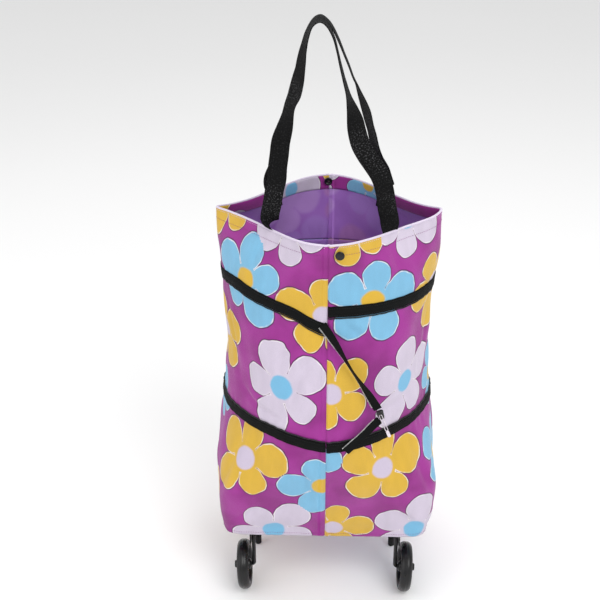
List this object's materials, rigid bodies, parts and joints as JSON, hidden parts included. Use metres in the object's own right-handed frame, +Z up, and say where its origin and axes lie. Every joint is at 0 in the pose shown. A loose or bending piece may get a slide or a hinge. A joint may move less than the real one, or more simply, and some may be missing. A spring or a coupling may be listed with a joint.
{
  "type": "shopping trolley on wheels",
  "caption": "Printed cloth shopping bag on two wheels, with a zip-away middle section, webbing handles and fold-under wire legs.",
  "frame": {"origin": "on the floor, under the middle of the bag's bounding box", "axes": "+Z up, front of the bag with the zip slider towards -Y, wheels left and right along X"},
  "size_m": [0.3258, 0.3205, 0.8459],
  "materials": {
    "print_cloth": "coated polyester with a large printed daisy pattern",
    "binding_cloth": "pale folded edge with a row of stitches",
    "webbing": "ribbed black polyester webbing",
    "zip_tape": "black woven zip tape",
    "zip_coil": "black nylon coil",
    "base_board": "matt black board",
    "snap_black": "glossy black snap",
    "slider_metal": "bright plated zinc",
    "wire_black": "black powder-coated wire",
    "plate_steel": "zinc-plated sheet",
    "wheel_plastic": "glossy moulded black plastic",
    "tyre_plastic": "smooth black tread",
    "foot_rubber": "soft black rubber"
  },
  "bodies": {
    "lower_bag": {"base_panel": "print_cloth", "base_board": "base_board", "lower_section": "print_cloth", "lower_zip_tape": "zip_tape", "lower_zip_coil": "zip_coil", "middle_section": "print_cloth", "lower_free_tape": "zip_tape", "upper_free_tape": "zip_tape", "base_rivets": "plate_steel", "left_rail_plate": "plate_steel", "left_saddles": "wheel_plastic", "right_rail_plate": "plate_steel", "right_saddles": "wheel_plastic"},
    "upper_bag": {"upper_section": "print_cloth", "upper_zip_tape": "zip_tape", "upper_zip_coil": "zip_coil", "rim_facing": "print_cloth", "rim_binding": "binding_cloth", "front_strap_tails": "webbing", "back_strap_tails": "webbing", "front_snap_cap": "snap_black", "front_snap_socket": "snap_black", "back_snap_cap": "snap_black", "back_snap_stud": "snap_black"},
    "front_handle": {"front_strap": "webbing"},
    "back_handle": {"back_strap": "webbing"},
    "zip_slider": {"zip_slider": "slider_metal"},
    "zip_pull": {"zip_pull": "slider_metal"},
    "left_leg": {"left_leg": "wire_black", "left_foot_cap": "foot_rubber", "left_axle_washer": "wheel_plastic", "left_axle_cap": "wheel_plastic"},
    "left_wheel": {"left_rim": "wheel_plastic", "left_tyre": "tyre_plastic"},
    "right_leg": {"right_leg": "wire_black", "right_foot_cap": "foot_rubber", "right_axle_washer": "wheel_plastic", "right_axle_cap": "wheel_plastic"},
    "right_wheel": {"right_rim": "wheel_plastic", "right_tyre": "tyre_plastic"}
  },
  "joints": [
    {"name": "bag_collapse", "type": "slide", "parent": "lower_bag", "child": "upper_bag", "axis": [0, 0, 1], "range_m": [-0.174, 0], "deforming": ["middle_section", "lower_free_tape", "upper_free_tape"]},
    {"name": "front_handle_swing", "type": "hinge", "parent": "upper_bag", "child": "front_handle", "pos_m": [0, -0.079, 0.6], "axis": [0.9993, -0.0379, 0], "range_deg": [0, 105]},
    {"name": "back_handle_swing", "type": "hinge", "parent": "upper_bag", "child": "back_handle", "pos_m": [0, 0.061, 0.6], "axis": [1, 0, 0], "range_deg": [-80, 0]},
    {"name": "slider_travel", "type": "slide", "parent": "lower_bag", "child": "zip_slider", "axis": [0, 0, 1], "range_m": [-0.0435, 0]},
    {"name": "pull_swing", "type": "hinge", "parent": "zip_slider", "child": "zip_pull", "pos_m": [0.074, -0.153, 0.341], "axis": [-0.9272, 0, -0.3746], "range_deg": [0, 150]},
    {"name": "left_leg_fold", "type": "hinge", "parent": "lower_bag", "child": "left_leg", "pos_m": [-0.1075, -0.05, 0.092], "axis": [0, -1, 0], "range_deg": [0, 90]},
    {"name": "left_wheel_spin", "type": "hinge", "parent": "left_leg", "child": "left_wheel", "pos_m": [-0.122, -0.098, 0.03775], "axis": [-0.9981, 0, -0.061], "continuous": true},
    {"name": "right_leg_fold", "type": "hinge", "parent": "lower_bag", "child": "right_leg", "pos_m": [0.1075, -0.05, 0.092], "axis": [0, 1, 0], "range_deg": [0, 90]},
    {"name": "right_wheel_spin", "type": "hinge", "parent": "right_leg", "child": "right_wheel", "pos_m": [0.122, -0.098, 0.03775], "axis": [0.9981, 0, -0.061], "continuous": true}
  ],
  "couplings": [
    {"joint": "slider_travel", "follows": "bag_collapse", "ratio": 0.25}
  ]
}
